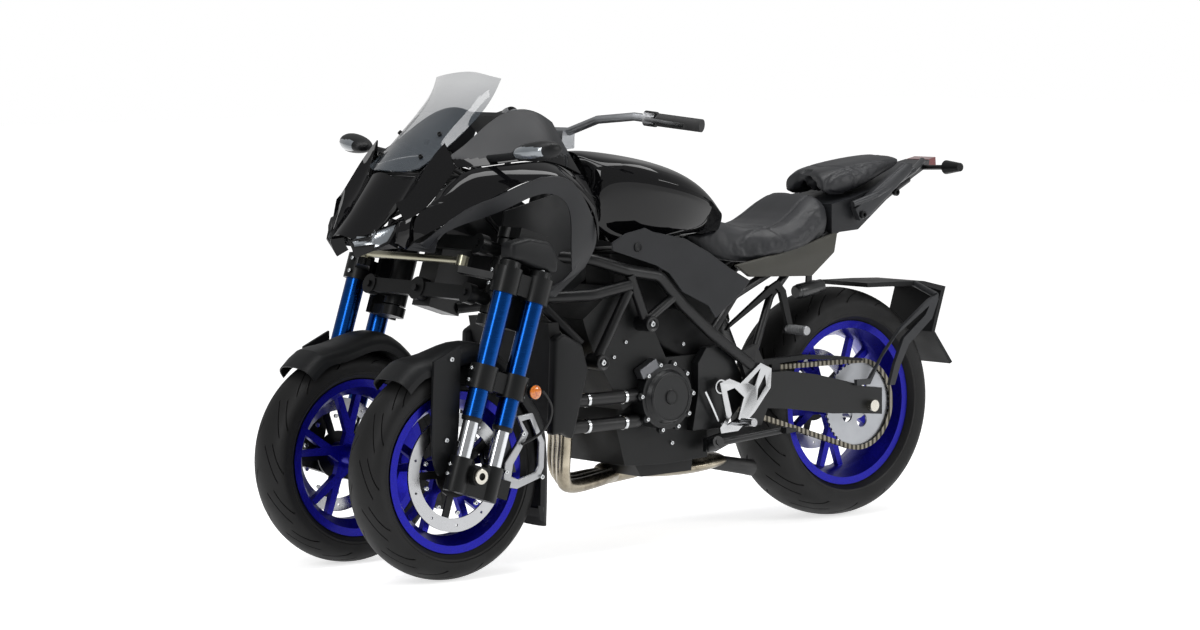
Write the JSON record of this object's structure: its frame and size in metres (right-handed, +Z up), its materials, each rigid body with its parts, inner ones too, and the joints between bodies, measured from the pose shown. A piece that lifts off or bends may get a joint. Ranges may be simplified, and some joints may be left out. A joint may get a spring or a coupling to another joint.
{
  "type": "leaning reverse trike",
  "caption": "Full-size leaning road trike with steered front wheels on twin-tube forks, a driven rear wheel, a nose fairing with a smoked screen and a two-part saddle.",
  "frame": {"origin": "on the ground, under the middle of the overall length and width, upright on its wheels", "axes": "+X forward, +Y to the rider's left, +Z up"},
  "size_m": [2.1774, 0.9, 1.2659],
  "materials": {
    "gloss_black": "gloss, smooth",
    "matte_grey": "matte, fine grain",
    "frame_black": "satin powder coat",
    "engine_grey": "satin painted casting",
    "cover_black": "satin painted casting",
    "core_black": "matte fins",
    "header_steel": "heat tinted",
    "muffler_dark": "matte heat paint",
    "silver": "satin",
    "dark_alloy": "satin anodised",
    "fork_blue": "gloss anodised",
    "chrome": "polished",
    "rim_blue": "gloss paint",
    "tyre": "matte",
    "disc_steel": "ground",
    "chain_steel": "oiled",
    "seat_vinyl": "grained vinyl",
    "lamp_lens": "clear",
    "screen_smoke": "smoked, clear",
    "tail_lens": "gloss",
    "rubber": "ribbed",
    "spring": "gloss powder coat"
  },
  "bodies": {
    "chassis": {"arch_trims": "matte_grey", "chain_guard": "matte_grey", "drive_chain": "chain_steel", "engine_block": "engine_grey", "engine_covers": "cover_black", "exhaust_pipes": "header_steel", "foot_controls": "silver", "fuel_tank": "gloss_black", "grab_rails": "dark_alloy", "headlamps": "lamp_lens", "instrument_panel": "matte_grey", "kingpin_posts": "dark_alloy", "lean_arms": "dark_alloy", "main_frame": "frame_black", "mirrors": "gloss_black", "muffler": "muffler_dark", "nose_cowl": "gloss_black", "passenger_footpegs": "silver", "passenger_seat": "seat_vinyl", "radiator": "core_black", "radiator_shrouds": "matte_grey", "rear_axle": "silver", "rear_caliper": "dark_alloy", "rear_lamps": "tail_lens", "rear_mudguard": "matte_grey", "rear_shock": "spring", "rider_seat": "seat_vinyl", "side_cowls": "gloss_black", "swingarm": "dark_alloy", "tail_cowl": "matte_grey", "tank_side_covers": "matte_grey", "windscreen": "screen_smoke"},
    "steering": {"handlebar": "silver", "hand_grips": "rubber", "hand_controls": "silver"},
    "tie_rod": {"tie_rod": "dark_alloy"},
    "side_stand": {"side_stand": "frame_black"},
    "rear_wheel": {"rear_rim": "rim_blue", "rear_tyre": "tyre", "rear_disc": "disc_steel", "rear_sprocket": "silver"},
    "fork_left": {"fork_tubes_left": "fork_blue", "fork_legs_left": "chrome", "fork_castings_left": "frame_black", "front_caliper_left": "dark_alloy", "caliper_stay_left": "silver", "front_mudguard_left": "matte_grey"},
    "front_wheel_left": {"front_rim_left": "rim_blue", "front_tyre_left": "tyre", "front_disc_left": "disc_steel"},
    "fork_right": {"fork_tubes_right": "fork_blue", "fork_legs_right": "chrome", "fork_castings_right": "frame_black", "front_caliper_right": "dark_alloy", "caliper_stay_right": "silver", "front_mudguard_right": "matte_grey"},
    "front_wheel_right": {"front_rim_right": "rim_blue", "front_tyre_right": "tyre", "front_disc_right": "disc_steel"}
  },
  "joints": [
    {"name": "steering_turn", "type": "hinge", "parent": "chassis", "child": "steering", "pos_m": [0.2862, 0, 1.06], "axis": [-0.3173, 0, 0.9483], "range_deg": [-28, 28]},
    {"name": "fork_left_turn", "type": "hinge", "parent": "chassis", "child": "fork_left", "pos_m": [0.79106, 0.205, 0.26676], "axis": [-0.3173, 0, 0.9483], "range_deg": [-28, 28]},
    {"name": "fork_right_turn", "type": "hinge", "parent": "chassis", "child": "fork_right", "pos_m": [0.79106, -0.205, 0.26676], "axis": [-0.3173, 0, 0.9483], "range_deg": [-28, 28]},
    {"name": "tie_rod_turn", "type": "hinge", "parent": "fork_left", "child": "tie_rod", "pos_m": [0.75411, 0.205, 0.78059], "axis": [-0.3173, 0, 0.9483], "range_deg": [-28, 28]},
    {"name": "front_wheel_left_spin", "type": "hinge", "parent": "fork_left", "child": "front_wheel_left", "pos_m": [0.8142, 0.205, 0.2745], "axis": [0, 1, 0], "continuous": true},
    {"name": "front_wheel_right_spin", "type": "hinge", "parent": "fork_right", "child": "front_wheel_right", "pos_m": [0.8142, -0.205, 0.2745], "axis": [0, 1, 0], "continuous": true},
    {"name": "rear_wheel_spin", "type": "hinge", "parent": "chassis", "child": "rear_wheel", "pos_m": [-0.6958, 0, 0.32], "axis": [0, 1, 0], "continuous": true},
    {"name": "side_stand_fold", "type": "hinge", "parent": "chassis", "child": "side_stand", "pos_m": [-0.1038, 0.184, 0.262], "axis": [0.124, 0.9337, 0.3359], "range_deg": [-98, 0]}
  ],
  "couplings": [
    {"joint": "fork_left_turn", "follows": "steering_turn", "ratio": 1},
    {"joint": "fork_right_turn", "follows": "steering_turn", "ratio": 1},
    {"joint": "tie_rod_turn", "follows": "steering_turn", "ratio": -1}
  ]
}
